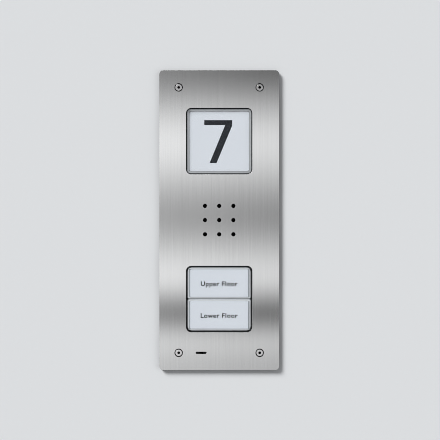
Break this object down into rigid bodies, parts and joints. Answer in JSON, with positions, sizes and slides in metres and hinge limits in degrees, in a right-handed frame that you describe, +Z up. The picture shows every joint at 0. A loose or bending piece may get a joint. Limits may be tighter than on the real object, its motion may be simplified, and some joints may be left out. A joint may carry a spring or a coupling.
{
  "type": "door intercom panel",
  "caption": "Flush door station with a brushed steel plate, a number window, a speaker grille, two clear call buttons, a microphone slot and a wall box behind.",
  "frame": {"origin": "centre of the front plate on the plane of the finished wall that it is set into", "axes": "+Z up the panel, +X to the right as seen from the front, +Y into the wall; the front faces -Y"},
  "size_m": [0.12, 0.051, 0.3],
  "materials": {
    "brushed_steel": "fine vertical brushing, satin stainless",
    "screw_steel": "machined stainless",
    "zinc_nut": "bright zinc plate",
    "brass": "turned brass",
    "seal_foam": "closed-cell black foam",
    "box_plastic": "fine moulded texture",
    "grommet_rubber": "smooth black rubber",
    "clear_cover": "polished clear polycarbonate",
    "clear_button": "polished clear polycarbonate",
    "number_sheet": "matt printed translucent film, pale blue-white",
    "name_label": "matt printed translucent film, pale blue-white",
    "diffuser": "opal satin",
    "frame_plastic": "fine moulded texture, black",
    "carrier_plastic": "opal satin",
    "circuit_board": "green solder mask over copper tracks",
    "led": "cream package with clear lens",
    "spring_steel": "bright drawn wire",
    "switch_black": "moulded black",
    "plunger": "moulded ivory",
    "membrane": "fine black acoustic mesh",
    "paper_cone": "pressed black paper pulp",
    "basket_steel": "grey stamped steel",
    "magnet": "sintered ferrite",
    "chip": "moulded epoxy",
    "capacitor": "shrink sleeve, bare aluminium top",
    "terminal_green": "moulded green",
    "trimmer_blue": "moulded blue",
    "rotor_white": "moulded white",
    "lead_grey": "grey PVC sleeve",
    "capsule_metal": "drawn aluminium can"
  },
  "bodies": {
    "panel": {"button_board": "circuit_board", "button_frame": "frame_plastic", "button_frame_nut_left": "zinc_nut", "button_frame_nut_right": "zinc_nut", "button_lead": "lead_grey", "cable_grommet": "grommet_rubber", "front_plate": "brushed_steel", "lower_button_led": "led", "lower_return_spring": "spring_steel", "lower_switch_body": "switch_black", "main_board": "circuit_board", "microphone_boot": "grommet_rubber", "microphone_capsule": "capsule_metal", "microphone_lead": "lead_grey", "number_board": "circuit_board", "number_cover": "clear_cover", "number_diffuser": "diffuser", "number_frame": "frame_plastic", "number_frame_nut_left": "zinc_nut", "number_frame_nut_right": "zinc_nut", "number_lead": "lead_grey", "number_led_left": "led", "number_led_right": "led", "number_sheet": "number_sheet", "plate_screw_lower_left": "screw_steel", "plate_screw_lower_right": "screw_steel", "plate_screw_upper_left": "screw_steel", "plate_screw_upper_right": "screw_steel", "plate_seal": "seal_foam", "speaker_basket": "basket_steel", "speaker_cone": "paper_cone", "speaker_gasket": "seal_foam", "speaker_lead": "lead_grey", "speaker_magnet": "magnet", "speaker_membrane": "membrane", "speech_chip": "chip", "speech_housing": "frame_plastic", "speech_housing_nut_left": "zinc_nut", "speech_housing_nut_right": "zinc_nut", "supply_capacitor": "capacitor", "terminal_block": "terminal_green", "threaded_insert_lower_left": "brass", "threaded_insert_lower_right": "brass", "threaded_insert_upper_left": "brass", "threaded_insert_upper_right": "brass", "upper_button_led": "led", "upper_return_spring": "spring_steel", "upper_switch_body": "switch_black", "volume_trimmer_body": "trimmer_blue", "wall_box": "box_plastic"},
    "upper_button": {"upper_call_button": "clear_button", "upper_name_label": "name_label", "upper_button_carrier": "carrier_plastic"},
    "upper_plunger": {"upper_switch_plunger": "plunger"},
    "lower_button": {"lower_call_button": "clear_button", "lower_name_label": "name_label", "lower_button_carrier": "carrier_plastic"},
    "lower_plunger": {"lower_switch_plunger": "plunger"},
    "volume_rotor": {"volume_trimmer_rotor": "rotor_white"}
  },
  "joints": [
    {"name": "upper_call_button_press", "type": "slide", "parent": "panel", "child": "upper_button", "axis": [0, 1, 0], "range_m": [0, 0.0012], "stiffness_N_per_m": 900, "springref_m": -0.0006, "deforming": ["upper_return_spring"]},
    {"name": "upper_switch_plunger_press", "type": "slide", "parent": "panel", "child": "upper_plunger", "axis": [0, 1, 0], "range_m": [0, 0.0012]},
    {"name": "lower_call_button_press", "type": "slide", "parent": "panel", "child": "lower_button", "axis": [0, 1, 0], "range_m": [0, 0.0012], "stiffness_N_per_m": 900, "springref_m": -0.0006, "deforming": ["lower_return_spring"]},
    {"name": "lower_switch_plunger_press", "type": "slide", "parent": "panel", "child": "lower_plunger", "axis": [0, 1, 0], "range_m": [0, 0.0012]},
    {"name": "volume_trimmer_turn", "type": "hinge", "parent": "panel", "child": "volume_rotor", "pos_m": [0.027, 0.029, 0.014], "axis": [0, 1, 0], "range_deg": [-135, 135]}
  ],
  "couplings": [
    {"joint": "upper_switch_plunger_press", "follows": "upper_call_button_press", "ratio": 1},
    {"joint": "lower_switch_plunger_press", "follows": "lower_call_button_press", "ratio": 1}
  ]
}
